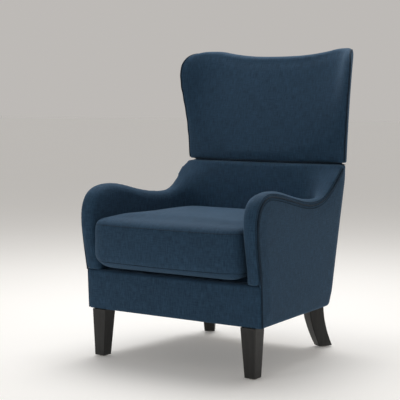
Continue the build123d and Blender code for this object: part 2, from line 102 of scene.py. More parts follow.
# half plans of the upper back at four heights, as (x, y)
UPPER_LEVELS = np.array([657, 838, 987, 1062]) * MM
UPPER_FRONT = np.array([
    [(0, 214), (130, 217), (220, 226), (285, 237), (318, 245), (330, 251)],
    [(0, 268), (140, 267), (226, 263), (288, 252), (325, 242), (343, 243)],
    [(0, 316), (150, 315), (230, 309), (288, 287), (327, 248), (356, 228)],
    [(0, 338), (150, 337), (232, 331), (292, 309), (334, 262), (359, 228)],
]) * MM
UPPER_OUTER = np.array([
    [(330, 251), (321, 285), (292, 314), (238, 325)],
    [(343, 243), (329, 284), (298, 331), (243, 348)],
    [(356, 228), (340, 282), (304, 340), (246, 368)],
    [(359, 228), (344, 286), (309, 348), (250, 376)],
]) * MM
TOP_OUTLINE = np.array([
    (0, 1033), (130, 1038), (225, 1052), (290, 1060), (338, 1046), (357, 1018), (361, 975),
]) * MM
WING_NOSE, WING_NOSE_Y = 77 * MM, 304 * MM


# ---- curves and surfaces
def spline(knots, values, at):
    """Natural cubic spline through values at knots, read at the places in at."""
    knots, values, at = (np.asarray(given, float) for given in (knots, values, at))
    count, gap = len(knots), np.diff(knots)
    matrix, right = np.eye(count), np.zeros((count,) + values.shape[1:])
    for i in range(1, count - 1):
        before, after = gap[i - 1], gap[i]
        matrix[i, i - 1:i + 2] = before, 2 * (before + after), after
        right[i] = 6 * ((values[i + 1] - values[i]) / after - (values[i] - values[i - 1]) / before)
    bend = np.linalg.solve(matrix, right.reshape(count, -1)).reshape(right.shape)
    cell = np.clip(np.searchsorted(knots, at) - 1, 0, count - 2)
    shape = (-1,) + (1,) * (values.ndim - 1)
    h = gap[cell].reshape(shape)
    low = (at - knots[cell]).reshape(shape)
    high = h - low
    return (
        (bend[cell] * high**3 + bend[cell + 1] * low**3) / (6 * h)
        + (values[cell] / h - bend[cell] * h / 6) * high
        + (values[cell + 1] / h - bend[cell + 1] * h / 6) * low
    )


def arc_lengths(points):
    return np.concatenate([[0], np.cumsum(norm(np.diff(points, axis=0), axis=1))])


def resample(points, count):
    run = arc_lengths(points)
    wanted = linspace(0, run[-1], count)
    return np.stack([np.interp(wanted, run, column) for column in points.T], axis=1)


def curve(points, count):
    """A spline through the points, as count points at even distances."""
    points = np.asarray(points, float)
    run = arc_lengths(points)
    return resample(spline(run, points, linspace(0, run[-1], 600)), count)


def ramp(low, high, value):
    share = np.clip((value - low) / (high - low), 0, 1)
    return share * share * (3 - 2 * share)


def eased(path, times):
    """The path with its small jumps smoothed out, ends held."""
    path = path.copy()
    for _ in range(times):
        path[1:-1] = (path[:-2] + 2 * path[1:-1] + path[2:]) / 4
    return path


def eased_ring(ring):
    for _ in range(6):
        ring = (np.roll(ring, 1, axis=0) + 2 * ring + np.roll(ring, -1, axis=0)) / 4
    return ring


def at_height(plan, z):
    return np.column_stack([plan, np.full(len(plan), z)])


def side_x(y, z):
    up = (z - BASE_Z) / (SPLIT_Z - BASE_Z)
    return FRONT_HALF - (BASE_TAPER + (SPLIT_TAPER - BASE_TAPER) * up) * (y - FRONT_Y) / SIDE_LENGTH


def rear_y(z):
    return REAR_BASE_Y + (REAR_SPLIT_Y - REAR_BASE_Y) * (z - BASE_Z) / (SPLIT_Z - BASE_Z)


def outline_x(y, z):
    """Half width of the fixed body at y and z, rear corners included."""
    past = np.clip(y - (rear_y(z) - REAR_CORNER), 0, REAR_CORNER)
    return side_x(y, z) - REAR_CORNER + np.sqrt(REAR_CORNER**2 - past**2)


def inner_x(y):
    return ARM_INNER_FRONT + (ARM_INNER_REAR - ARM_INNER_FRONT) * (y - FRONT_Y) / SIDE_LENGTH


def plan_point(run, z, inset=0.0):
    """Point and outward normal on the side of the fixed body, run metres along it: y along the
    straight side, then round the rear corner, then inward along the rear."""
    rear = rear_y(z)
    tilt = -atan((side_x(rear, z) - side_x(FRONT_Y, z)) / (rear - FRONT_Y))
    turn = pi / 2 - tilt
    start = rear - REAR_CORNER * tan(turn / 2) * cos(tilt)
    out = np.array([cos(tilt), sin(tilt)])
    point = np.array([side_x(min(run, start), z), min(run, start)])
    if run > start:
        angle = min((run - start) / REAR_CORNER, turn)
        centre = point - out * REAR_CORNER
        out = np.array([cos(tilt + angle), sin(tilt + angle)])
        past = max(0, run - start - REAR_CORNER * turn)
        point = centre + out * REAR_CORNER - np.array([past, 0])
    return np.array([*(point - out * inset), z]), np.array([*out, 0])


def seam_run(z):
    """Where along plan_point the side panel meets the rear panel."""
    low, high = 0.2, 0.6
    for _ in range(30):
        middle = (low + high) / 2
        if plan_point(middle, z)[0][0] > REAR_SEAM_X:
            low = middle
        else:
            high = middle
    return low


# ---- mesh helpers
def linked(name, data):
    made = bpy.data.objects.new(name, data)
    bpy.context.scene.collection.objects.link(made)
    return made


def smooth_shaded(mesh):
    mesh.polygons.foreach_set("use_smooth", [True] * len(mesh.polygons))
    return mesh


def new_object(name, verts, faces):
    mesh = bpy.data.meshes.new(name)
    mesh.from_pydata([tuple(v) for v in verts], [], faces)
    mesh.update()
    return linked(name, smooth_shaded(mesh))


def grid_faces(rows, columns, wrap=False, offset=0):
    cells = [(i * columns + offset, j, (j + 1) % columns)
             for i in range(rows - 1) for j in range(columns if wrap else columns - 1)]
    return [(row + j, row + k, row + columns + k, row + columns + j) for row, j, k in cells]


def ring_faces(rows, columns, offset=0):
    """Faces of a stack of closed rings, capped flat at both ends."""
    last = offset + (rows - 1) * columns
    return grid_faces(rows, columns, wrap=True, offset=offset) + [
        tuple(range(offset, offset + columns))[::-1], tuple(range(last, last + columns)),
    ]


def lofted(name, rings, capped=True):
    """Solid from a stack of closed rings. Without caps they close by themselves."""
    rows, columns = np.shape(rings)[:2]
    faces = ring_faces(rows, columns)
    return outward(new_object(name, np.reshape(rings, (-1, 3)), faces if capped else faces[:-2]))


def outward(piece):
    mesh = bmesh.new()
    mesh.from_mesh(piece.data)
    bmesh.ops.recalc_face_normals(mesh, faces=mesh.faces)
    mesh.to_mesh(piece.data)
    mesh.free()
    return piece


def faced_outward(piece):
    """Turn an open surface so that its faces look away from the middle of the chair."""
    away = coords(piece).mean(axis=0) - (0, 0, 0.4)
    total = np.zeros(3)
    for face in piece.data.polygons:
        total += np.array(face.normal) * face.area
    if total @ away < 0:
        piece.data.flip_normals()
    return piece


def vectors(items, name):
    values = np.empty(len(items) * 3)
    items.foreach_get(name, values)
    return values.reshape(-1, 3)


def coords(piece):
    return vectors(piece.data.vertices, "co")


def half_places(piece):
    """Distance from the middle plane, y and z of each vertex."""
    x, y, z = coords(piece).T
    return np.abs(x), y, z


def normals(piece):
    return vectors(piece.data.vertex_normals, "vector")


def set_coords(piece, co):
    piece.data.vertices.foreach_set("co", np.asarray(co, float).ravel())
    piece.data.update()


def joined(name, *pieces):
    """One mesh from several, without merging anything."""
    mesh, data = bmesh.new(), bpy.data.meshes.new(name)
    for piece in pieces:
        mesh.from_mesh(piece.data)
        bpy.data.objects.remove(piece)
    mesh.to_mesh(data)
    mesh.free()
    return linked(name, smooth_shaded(data))


def mirrored(piece, name):
    """Copy of a left-hand piece for the right-hand side."""
    copy = linked(name, piece.data.copy())
    set_coords(copy, coords(piece) * (-1, 1, 1))
    copy.data.flip_normals()
    return copy


def baked(piece):
    """Replace the mesh by its evaluated self and drop the modifiers."""
    graph = bpy.context.evaluated_depsgraph_get()
    mesh = bpy.data.meshes.new_from_object(piece.evaluated_get(graph))
    piece.modifiers.clear()
    old, piece.data = piece.data, smooth_shaded(mesh)
    bpy.data.meshes.remove(old)
    return piece


def modified(piece, kind, **settings):
    modifier = piece.modifiers.new(kind.lower(), kind)
    for key, value in settings.items():
        setattr(modifier, key, value)
    return baked(piece)


def remesh(piece, voxel, times):
    """An even mesh over the whole piece, relaxed."""
    modified(piece, "REMESH", mode="VOXEL", voxel_size=voxel)
    modified(piece, "SMOOTH", factor=0.5, iterations=times)


def subdivide(piece):
    return modified(piece, "SUBSURF", levels=1, render_levels=1)


def solidify(piece, thickness):
    """Give a surface a thickness, behind its outer side."""
    return modified(piece, "SOLIDIFY", thickness=thickness, offset=-1, use_even_offset=False)


def soften(piece, share, times):
    """Average each vertex with its neighbours, as far as its share from 0 to 1."""
    edges = np.empty(len(piece.data.edges) * 2, int)
    piece.data.edges.foreach_get("vertices", edges)
    one, two = edges[::2], edges[1::2]
    co = coords(piece)
    count = np.bincount(edges, minlength=len(co))[:, None]
    share = np.clip(share, 0, 1)[:, None] * 0.6
    for _ in range(times):
        total = np.stack([
            np.bincount(one, co[two, i], len(co)) + np.bincount(two, co[one, i], len(co))
            for i in range(3)
        ], axis=1)
        co += share * (total / count - co)
    set_coords(piece, co)


FILLED = 0.85  # share of the inward movement of the cloth that the filling stops


def inflate(piece, pressure, cap, pinned):
    """Swell a pad by cloth simulation. pinned holds a vertex from 0 to 1; cap limits how far
    one moves."""
    pinned = np.clip(pinned, 0, 1)
    start, out = coords(piece), normals(piece)
    cloth = piece.modifiers.new("inflate", "CLOTH").settings
    cloth.quality = 4
    cloth.mass = 0.3
    cloth.tension_stiffness = cloth.compression_stiffness = 12
    cloth.shear_stiffness = 5
    cloth.bending_stiffness = 0.6
    cloth.use_pressure = True
    cloth.uniform_pressure_force = pressure
    cloth.effector_weights.gravity = 0
    group = piece.vertex_groups.new(name="seams")
    for index in np.nonzero(pinned > 0.01)[0]:
        group.add([int(index)], float(pinned[index]), "REPLACE")
    cloth.vertex_group_mass = "seams"
    scene = bpy.context.scene
    for step in range(1, 21):
        scene.frame_set(step)
    baked(piece)
    piece.vertex_groups.clear()
    moved = coords(piece) - start
    moved -= FILLED * out * np.minimum(0, (moved * out).sum(axis=1, keepdims=True))
    length = norm(moved, axis=1, keepdims=True)
    set_coords(piece, start + moved * np.minimum(1, cap / np.maximum(length, 1e-9)))
    scene.frame_set(1)


def tube(name, path, radius, sides=10, closed=False):
    """Round cord along a path, as a mesh."""
    if closed:
        along = np.roll(path, -1, axis=0) - np.roll(path, 1, axis=0)
    else:
        along = np.gradient(path, axis=0)
    along /= norm(along, axis=1, keepdims=True)
    up = np.cross(along[0], (0.3, 0.2, 0.93))
    angles = linspace(0, 2 * pi, sides, endpoint=False)[:, None]
    rings = []
    for point, direction in zip(path, along):
        up = up - direction * (up @ direction)
        up /= norm(up)
        beside = np.cross(direction, up)
        rings.append(point + radius * (np.cos(angles) * up + np.sin(angles) * beside))
    if not closed:
        return lofted(name, rings)
    total = len(rings) * sides
    faces = [tuple(v % total for v in face)
             for face in grid_faces(len(rings) + 1, sides, wrap=True)]
    return outward(new_object(name, np.reshape(rings, (-1, 3)), faces))


def stitches(name, path, outs):
    """Row of thread stitches along a path, each one a short cord sunk a little at its ends."""
    run, sides = arc_lengths(path), 6
    length, pitch, radius = 4.6 * MM, 5.6 * MM, 0.7 * MM
    lift = radius * np.array([-0.6, 0.5, 0.8, 0.5, -0.6])
    verts, faces = [], []
    for start in np.arange(pitch, run[-1] - pitch, pitch):
        stops = linspace(start, start + length, len(lift))
        centre = np.stack([np.interp(stops, run, column) for column in path.T], axis=1)
        out = np.array([np.interp(start, run, column) for column in outs.T])
        out /= norm(out)
        along = centre[-1] - centre[0]
        along /= norm(along)
        beside = np.cross(along, out) * radius * 1.3
        faces += ring_faces(len(stops), sides, offset=len(verts))
        for point, rise in zip(centre, lift):
            for angle in (2 * pi * k / sides for k in range(sides)):
                verts.append(point + out * (rise + radius * sin(angle))
                             + beside * cos(angle))
    return outward(new_object(name, verts, faces))


# ---- materials
def feed(tree, node, inputs):
    """Give a node its inputs, each a value or a socket."""
    for key, value in inputs.items():
        if isinstance(value, bpy.types.NodeSocket):
            tree.links.new(value, node.inputs[key])
        else:
            node.inputs[key].default_value = value
    return node


def add(tree, kind, inputs=None, **settings):
    made = tree.nodes.new("ShaderNode" + kind)
    for key, value in settings.items():
        setattr(made, key, value)
    return feed(tree, made, inputs or {})


def maths(tree, operation, *values):
    return add(tree, "Math", dict(enumerate(values)), operation=operation).outputs[0]


def ranged(tree, value, low, high, to_low=0.0, to_high=1.0):
    inputs = dict(enumerate((value, low, high, to_low, to_high)))
    return add(tree, "MapRange", inputs).outputs[0]


def bumps(tree, height, strength, distance):
    return add(tree, "Bump", {
        "Strength": strength, "Distance": distance, "Height": height,
    }).outputs[0]


def own_place(tree):
    return add(tree, "TexCoord").outputs["Object"]


def pointiness(tree, low, high, most):
    """Grows to most along edges and raised places."""
    sharp = add(tree, "NewGeometry").outputs["Pointiness"]
    return ranged(tree, sharp, low, high, 0.0, most)


def material(name):
    """A new material, its tree and its shader."""
    made = bpy.data.materials.new(name)
    made.use_nodes = True
    return made, made.node_tree, made.node_tree.nodes["Principled BSDF"]


def mixed(tree, share, first, second):
    first, second = (c if isinstance(c, bpy.types.NodeSocket) else (*c, 1) for c in (first, second))
    inputs = {0: share, 6: first, 7: second}
    return add(tree, "Mix", inputs, data_type="RGBA").outputs[2]


def noise(tree, vector, scale, detail=3.0, roughness=0.55):
    return add(tree, "TexNoise", {
        "Vector": vector, "Scale": scale, "Detail": detail, "Roughness": roughness,
    }).outputs["Fac"]


def weave_group(thread):
    """Plain weave on a plane: U and V in metres give the height of the threads and a tone from
    0 to 1 for the slubs and heathering of the yarn."""
    group = bpy.data.node_groups.new("weave", "ShaderNodeTree")
    for name, way in (("U", "INPUT"), ("V", "INPUT"), ("Height", "OUTPUT"), ("Tone", "OUTPUT")):
        group.interface.new_socket(name, in_out=way, socket_type="NodeSocketFloat")
    ends, out = group.nodes.new("NodeGroupInput"), group.nodes.new("NodeGroupOutput")
    u, v = ends.outputs["U"], ends.outputs["V"]
    waves = [maths(group, "SINE", maths(group, "MULTIPLY", axis, pi / thread)) for axis in (u, v)]
    height = maths(group, "MULTIPLY_ADD", maths(group, "MULTIPLY", *waves), 0.5, 0.5)

    def streaks(across, along, width, length, shift):
        """Streaks of yarn, as wide and as long as so many threads."""
        place = add(group, "CombineXYZ", {
            "X": maths(group, "MULTIPLY", across, 1 / (width * thread)),
            "Y": maths(group, "MULTIPLY", along, 1 / (length * thread)),
            "Z": shift,
        }).outputs[0]
        return noise(group, place, 1.0, 2.0, 0.6)

    warp, weft = streaks(u, v, 2.8, 26, 0.0), streaks(v, u, 2.8, 26, 7.0)
    fine = streaks(u, v, 1.1, 1.1, 13.0)
    tone = maths(group, "MULTIPLY_ADD", warp, 0.50, maths(group, "MULTIPLY", fine, 0.18))
    tone = maths(group, "MULTIPLY_ADD", weft, 0.32, tone)
    feed(group, out, {"Height": height, "Tone": tone})
    return group


def box_mapped(tree, group):
    """The weave laid on from three sides, blended by the way each face looks."""
    texture = add(tree, "TexCoord")
    place, facing = (add(tree, "SeparateXYZ", {"Vector": texture.outputs[name]}).outputs
                     for name in ("Object", "Normal"))
    shares = [maths(tree, "POWER", maths(tree, "ABSOLUTE", facing[i]), 6.0) for i in range(3)]
    total = maths(tree, "ADD", maths(tree, "ADD", shares[0], shares[1]), shares[2])
    sums = []
    for share, (u, v) in zip(shares, ((1, 2), (0, 2), (0, 1))):
        plane = add(tree, "Group", {"U": place[u], "V": place[v]}, node_tree=group)
        share = maths(tree, "DIVIDE", share, total)
        parts = [maths(tree, "MULTIPLY", plane.outputs[name], share) for name in ("Height", "Tone")]
        sums = [maths(tree, "ADD", *pair) for pair in zip(sums, parts)] if sums else parts
    return texture.outputs["Object"], *sums


WEAVE, COARSE_WEAVE = weave_group(1.15 * MM), weave_group(2.4 * MM)
NAVY = (0.008, 0.024, 0.049), (0.024, 0.063, 0.112)


def fabric(name, shade=1.0, tones=NAVY, weave=WEAVE, sheen=0.18, bump=0.35, rub=0.0):
    """Woven cloth between two tones. rub is how far the raised places have paled with use."""
    made, tree, shader = material(name)
    dark, light = ([c * shade for c in tone] for tone in tones)
    place, height, tone = box_mapped(tree, weave)
    tone = ranged(tree, tone, 0.36, 0.64)
    colour = mixed(tree, tone, dark, light)
    patches = ranged(tree, noise(tree, place, 9.0, 2.0), 0.3, 0.7, 0.95, 1.05)
    colour = add(tree, "HueSaturation", {"Color": colour, "Value": patches}).outputs[0]
    if rub:
        worn = pointiness(tree, 0.50, 0.58, rub)
        colour = mixed(tree, worn, colour, [c * 1.6 for c in light])
    relief = maths(tree, "MULTIPLY_ADD", tone, 0.5, height)
    feed(tree, shader, {
        "Base Color": colour, "Roughness": 0.88, "Specular IOR Level": 0.25,
        "Sheen Weight": sheen, "Sheen Roughness": 0.45, "Sheen Tint": (0.35, 0.58, 0.85, 1),
        "Normal": bumps(tree, relief, bump, 0.6 * MM),
    })
    return made


def timber(name, dark, light, roughness, gloss=0.5):
    """Wood with its grain along Z and a little rubbing along its edges."""
    made, tree, shader = material(name)
    long = add(tree, "Mapping", {
        "Vector": own_place(tree), "Scale": (1, 1, 0.07),
    }).outputs[0]
    rings = 1 / (12 * MM)
    grain, pores = noise(tree, long, rings, 5.0, 0.65), noise(tree, long, 9 * rings, 2.0, 0.7)
    colour = mixed(tree, ranged(tree, grain, 0.35, 0.65), dark, light)
    worn = pointiness(tree, 0.52, 0.62, 0.5)
    feed(tree, shader, {
        "Base Color": mixed(tree, worn, colour, [c * 2.2 for c in light]),
        "Roughness": ranged(tree, pores, 0.3, 0.7, roughness - 0.06, roughness + 0.08),
        "Specular IOR Level": gloss,
        "Normal": bumps(tree, pores, 0.25, 0.4 * MM),
    })
    return made


def speckled(name, dark, light, roughness, grain, metallic=0.0, bump=0.15):
    """Anything even and fine-grained: steel, moulded plastic or foam."""
    made, tree, shader = material(name)
    place = own_place(tree)
    coarse, fine = noise(tree, place, 60.0), noise(tree, place, 1 / grain, 4.0, 0.7)
    feed(tree, shader, {
        "Base Color": mixed(tree, ranged(tree, fine, 0.3, 0.7), dark, light),
        "Roughness": ranged(tree, coarse, 0.3, 0.7, roughness - 0.08, roughness + 0.08),
        "Metallic": metallic,
        "Normal": bumps(tree, fine, bump, 0.5 * MM),
    })
    return made


# piping: the navy upholstery cloth at 0.42 of its tone, painted shade of the dark creases beside
# the welts
SHADED_PIPING = fabric("piping", 0.42, sheen=0.1, bump=0.5)
# stitch thread: the navy cloth at 0.34 of its tone, painted shade of the sunken stitch rows
SHADED_THREAD = fabric("thread", 0.34, sheen=0.1, bump=0.6)
# cushion seam: the navy cloth at 0.60 of its tone, painted shade of the crease along the seams
SHADED_SEAM = fabric("seam", 0.60, bump=0.5)
FINISHES = {
    "upholstery": fabric("upholstery", rub=0.35),
    "leg_wood": timber("leg_wood", (0.01, 0.01, 0.01), (0.019, 0.019, 0.018), 0.42, gloss=0.33),
    "frame_wood": timber("frame_wood", (0.42, 0.29, 0.16), (0.66, 0.5, 0.32), 0.7),
    "steel": speckled("steel", (0.3, 0.3, 0.31), (0.5, 0.5, 0.51), 0.38, 1 * MM, metallic=1.0),
    "glide_plastic": speckled(
        "glide_plastic", (0.52, 0.5, 0.46), (0.66, 0.64, 0.6), 0.5, 0.6 * MM),
    "webbing": fabric(
        "strap", 1.0, ((0.02, 0.02, 0.02), (0.08, 0.08, 0.078)), COARSE_WEAVE, sheen=0.1),
    "lining_cloth": fabric(
        "lining", 1.0, ((0.012, 0.012, 0.013), (0.034, 0.034, 0.036)), sheen=0.1),
    "foam": speckled("foam", (0.7, 0.67, 0.55), (0.88, 0.85, 0.74), 0.9, 1.2 * MM, bump=0.6),
}


def attach(piece, body, finish):
    piece.data.materials.clear()
    piece.data.materials.append(finish)
    if body:
        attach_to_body(piece, body)
    return piece


def upholster(piece, body, fill, *nodes, slot="upholstery"):
    """Finish a padded piece that stands for the given nodes."""
    attach(piece, body, FINISHES[slot])
    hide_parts(*nodes)
    return piece


# ---- arms and lower back
ARM_ROUND = 25 * MM
ARM_FOOT_FRONT, ARM_FOOT_REAR = -322 * MM, 225 * MM
BACK_FRONT_Y = 214 * MM
LOW_EDGE_Z = 298 * MM
SPREAD_FROM, SPREAD_TO = 205 * MM, 250 * MM  # y over which the arm top widens into the back
CORNER_FILL = 132 * MM  # hollow radius where the inside of an arm runs into the back
SEAT_CORNER = 107 * MM  # rear corners of the cushion, clear of that hollow as it lifts
SEAT_HALF_REAR = 283.5 * MM
SEAT_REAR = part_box("seat_cushion_cover")[1].y


def paired_seam(crest):
    """For each place on the crest, the place on the side seam across from it."""
    seam = curve(SIDE_SEAM, 800)
    run = linspace(0, 1, len(seam))
    nearest = np.array([run[np.argmin(norm(seam - c, axis=1))] for c in crest])
    nearest = np.maximum.accumulate(nearest)
    nearest = (nearest - nearest[0]) / (nearest[-1] - nearest[0])
    nearest = np.convolve(np.pad(nearest, 6, "edge"), np.ones(13) / 13, "valid")
    return np.stack([np.interp(nearest, run, column) for column in seam.T], axis=1)


def arm_solid(name):
    """Padded band over one arm, with the inner face that hangs from it down to the deck."""
    crest = curve(ARM_CREST, 130)
    rings = []
    for share, top, edge in zip(linspace(0, 1, len(crest)), crest, paired_seam(crest)):
        depth = norm(edge - top)
        across = (edge - top) / depth
        outer = outline_x(*edge) - 0.5 * MM
        spread = ramp(SPREAD_FROM, SPREAD_TO, top[0])
        inner = inner_x(top[0]) + 0.5 * MM - 40 * MM * spread
        round_off = ARM_ROUND + 20 * MM * ramp(20 * MM, 200 * MM, top[0])
        base = np.array([ARM_FOOT_FRONT + (ARM_FOOT_REAR - ARM_FOOT_FRONT) * share, LOW_EDGE_Z])
        section = [
            (outer, depth), (outer + 1 * MM, depth * 0.72), (outer - 1.5 * MM, depth * 0.40),
            (outer - 6 * MM, depth * 0.14), (outer - 14 * MM, 0), (outer - 22 * MM, -1.4 * MM),
        ]
        section += [(inner + round_off * (1 - sin(angle)), round_off * (1 - cos(angle)))
                    for angle in np.radians(np.arange(0, 91, 15))]
        ring = [(x, *(top + across * d)) for x, d in section]
        foot = top + across * round_off
        ring += [(inner, *(foot + (base - foot) * fall)) for fall in (0.2, 0.4, 0.6, 0.8, 1.0)]
        for rise in (0.0, 0.33, 0.66, 0.95):
            y, z = base + (edge - base) * rise
            ring.append((outline_x(y, z) - 9 * MM, y, z))
        rings.append(ring)
    return lofted(name, rings)


def box_plan(half, front, corner_y, rear, corner, half_rear=None, rear_corner=None):
    """Plan outline of a box with a crowned front and round corners, anticlockwise."""
    half_rear, behind = half_rear or half, rear_corner or corner
    points = [(x, front + (corner_y - front) * (x / half) ** 2)
              for x in linspace(-half + corner, half - corner, 25)]
    for radius, x, y, start in (
        (corner, half - corner, corner_y + corner, -90),
        (behind, half_rear - behind, rear - behind, 0),
        (behind, -half_rear + behind, rear - behind, 90),
        (corner, -half + corner, corner_y + corner, 180),
    ):
        for angle in np.radians(linspace(start, start + 90, 14)):
            points.append((x + radius * cos(angle), y + radius * sin(angle)))
    return resample(np.array(points + points[:1]), 161)[:-1]


def inset_plan(plan, inset):
    """The outline moved in by inset along its own normals."""
    along = np.roll(plan, -1, axis=0) - np.roll(plan, 1, axis=0)
    along /= np.maximum(norm(along, axis=1, keepdims=True), 1e-9)
    return plan + np.stack([-along[:, 1], along[:, 0]], axis=1) * inset


def edge_inset(z, low, high, low_round, high_round):
    """How far a wall stands back at height z where its lower and upper edges are rounded."""
    inset = 0.0
    for gap, radius in ((z - low, low_round), (high - z, high_round)):
        if gap < radius:
            inset += radius - sqrt(max(0.0, radius**2 - (radius - gap) ** 2))
    return inset


def lower_back_solid(name):
    low, high = LOW_EDGE_Z, SPLIT_Z - 0.6 * MM
    levels = [linspace(low, high - 20 * MM, 24), linspace(high - 19 * MM, high, 12)]
    rings = []
    for z in np.concatenate(levels):
        front = np.interp(z, [312 * MM, 480 * MM, 636 * MM], [203 * MM, 212 * MM, BACK_FRONT_Y])
        half = 300 * MM - 30 * MM * (SPLIT_Z - z) / (SPLIT_Z - LOW_EDGE_Z)
        plan = box_plan(half, front, front + 2 * MM, rear_y(z) - 14 * MM, 8 * MM)
        crest_y = np.interp(z, ARM_CREST[6:, 1], ARM_CREST[6:, 0])
        depth = np.clip(front - crest_y - 1 * MM, 0, CORNER_FILL)
        corner = np.clip((np.abs(plan[:, 0]) - ARM_INNER_REAR) / CORNER_FILL + 1, 0, 1)
        roundness = (depth / CORNER_FILL) ** 2
        fill = roundness * (1 - np.sqrt(1 - corner**2)) + (1 - roundness) * corner**2
        plan[:, 1] -= np.where(plan[:, 1] < front + 12 * MM, depth * fill, 0)
        inset = edge_inset(z, low, high, 3 * MM, 15 * MM)
        plan[:, 1] += np.where(plan[:, 1] < 240 * MM, inset, 0)
        rings.append(at_height(plan, z))
    return lofted(name, rings)


def split_cap(name):
    """Top of the fixed back, closing it off behind the padding right out to the side panels."""
    low, high = SPLIT_Z - 24 * MM, SPLIT_Z - 0.6 * MM
    half_front = side_x(232 * MM, high) - 2.5 * MM
    front = np.array([(-300, 228), (-230, 219), (0, 216), (230, 219), (300, 228)]) * MM
    front = curve(front, 41)
    side = [plan_point(run, high, inset=3 * MM)[0][:2]
            for run in linspace(252 * MM, seam_run(high), 30)]
    right = np.array([(half_front - 3 * MM, 240 * MM), *side])
    rear = [(x, rear_y(high) - 3 * MM) for x in linspace(180 * MM, -180 * MM, 12)]
    plan = np.vstack([front, right, rear, right[::-1] * (-1, 1), front[:1]])
    plan = resample(plan, 221)[:-1]
    return lofted(name, [
        at_height(inset_plan(plan, edge_inset(z, low, high, 2 * MM, 7 * MM)), z)
        for z in linspace(low, high, 9)
    ])


def make_inside_upholstery():
    left = arm_solid("arm_form_left")
    right = mirrored(left, "arm_form_right")
    piece = joined("inside_upholstery", left, right,
                   lower_back_solid("back_form"), split_cap("cap_form"))
    remesh(piece, VOXEL, 3)
    x, y, z = half_places(piece)
    junction = ramp(60 * MM, 130 * MM, y) * ramp(110 * MM, 190 * MM, x)
    junction *= ramp(4 * MM, 16 * MM, outline_x(y, z) - x)
    junction *= ramp(SPLIT_Z - 3 * MM, SPLIT_Z - 18 * MM, z)
    soften(piece, junction, 60)
    # the padding swells between the edges, which are held by the frame behind them
    x, y, z = half_places(piece)
    held = ramp(325 * MM, 303 * MM, z) + ramp(SPLIT_Z - 26 * MM, SPLIT_Z - 10 * MM, z)
    held += (y > 235 * MM) + ramp(9 * MM, 2 * MM, side_x(y, z) - x)
    inflate(piece, PRESSURE, 4 * MM, held)
    soften(piece, 1 - held, 8)
    co = coords(piece)
    co[:, 2] = np.clip(co[:, 2], LOW_EDGE_Z - 2 * MM, SPLIT_Z - 0.5 * MM)
    # clear of the seat cushion and its rear corners, which lift out past the arms and the back
    reach = SEAT_CORNER + 2.5 * MM
    centre = np.array([SEAT_HALF_REAR, SEAT_REAR - 1 * MM]) - SEAT_CORNER
    from_x, from_y = np.abs(co[:, 0]) - centre[0], co[:, 1] - centre[1]
    away = np.hypot(from_x, from_y)
    near = (from_x > 0) & (from_y > 0) & (away < reach)
    grow = np.where(near, reach / np.maximum(away, 1 * MM), 1.0)
    co[:, 0] = np.sign(co[:, 0]) * (centre[0] + from_x * grow)
    co[:, 1] = centre[1] + from_y * grow
    x, limit = np.abs(co[:, 0]), inner_x(co[:, 1]) - 0.8 * MM
    beside = (co[:, 1] <= centre[1]) & (x > 200 * MM) & (x < limit)
    co[:, 0] = np.where(beside, np.sign(co[:, 0]) * limit, co[:, 0])
    set_coords(piece, co)
    return upholster(subdivide(piece), "frame", 0.85,
                     "arm_pad_left", "arm_pad_right", "lower_back_pad")


# ---- outside panels
PANEL_PUFF = 4 * MM  # how far a panel stands out between its seams
SEAM_DIP = 4 * MM  # how far its edges draw in
PANEL_LOW_Z, PANEL_TOP_Z = BASE_Z + 1 * MM, SPLIT_Z - 2 * MM
PANEL_FRONT_Y = -319 * MM


def coons(bottom, right, top, left, columns, rows):
    """Grid filled in between four edges; bottom and top run left to right."""
    bottom, top = resample(bottom, columns), resample(top, columns)
    left, right = resample(left, rows), resample(right, rows)
    u = linspace(0, 1, columns)[None, :, None]
    v = linspace(0, 1, rows)[:, None, None]
    ruled = (1 - v) * bottom[None] + v * top[None] + (1 - u) * left[:, None] + u * right[:, None]
    return ruled - (
        (1 - u) * (1 - v) * bottom[0] + u * (1 - v) * bottom[-1]
        + (1 - u) * v * top[0] + u * v * top[-1]
    )


def pillowed(grid):
    """(first, second, how far the panel stands out) for each point of a grid of places."""
    rim = np.concatenate([grid[0], grid[-1], grid[:, 0], grid[:, -1]])
    flat = grid.reshape(-1, 2)
    away = np.array([norm(rim - p, axis=1).min() for p in flat])
    dip = SEAM_DIP * np.clip(1 - away / (9 * MM), 0, 1) ** 2
    return np.column_stack([flat, PANEL_PUFF * ramp(0.0, 60 * MM, away) - dip])


def panel(name, grid, place):
    """Sewn panel over a grid; place gives the point for each row of pillowed."""
    piece = new_object(name, [place(*row) for row in pillowed(grid)], grid_faces(*grid.shape[:2]))
    return solidify(faced_outward(piece), PANEL)


def make_outside_panels():
    seam = curve(SIDE_SEAM, 400)
    turn = int(np.argmin(norm(seam - np.array([-347, 500]) * MM, axis=1)))
    front = np.vstack([[(PANEL_FRONT_Y, PANEL_LOW_Z)], seam[:turn + 1]])
    split = [(run, PANEL_TOP_Z)
             for run in linspace(262 * MM, seam_run(PANEL_TOP_Z), 60)]
    bottom = np.array([(run, PANEL_LOW_Z)
                       for run in linspace(PANEL_FRONT_Y, seam_run(BASE_Z), 60)])
    rear = np.array([(seam_run(z), z) for z in linspace(PANEL_LOW_Z, PANEL_TOP_Z, 40)])
    sides = coons(bottom, rear, np.vstack([seam[turn:-4], split]), front, 150, 96)

    def on_side(run, z, puff):
        point, out = plan_point(run, z)
        return point + out * puff

    half = REAR_SEAM_X - 1.5 * MM
    across, up = linspace(-half, half, 70), linspace(PANEL_LOW_Z, PANEL_TOP_Z, 84)
    left = panel("side_panel_cover_left", sides, on_side)
    right = mirrored(left, "side_panel_cover_right")
    rear = panel("lower_rear_panel_cover", np.array([[(x, z) for x in across] for z in up]),
                 lambda x, z, puff: (x, rear_y(z) + puff, z))
    upholster(left, "frame", 0.95, "side_panel_left")
    upholster(right, "frame", 0.95, "side_panel_right")
    upholster(rear, "frame", 0.95, "lower_rear_panel")
    return left, right


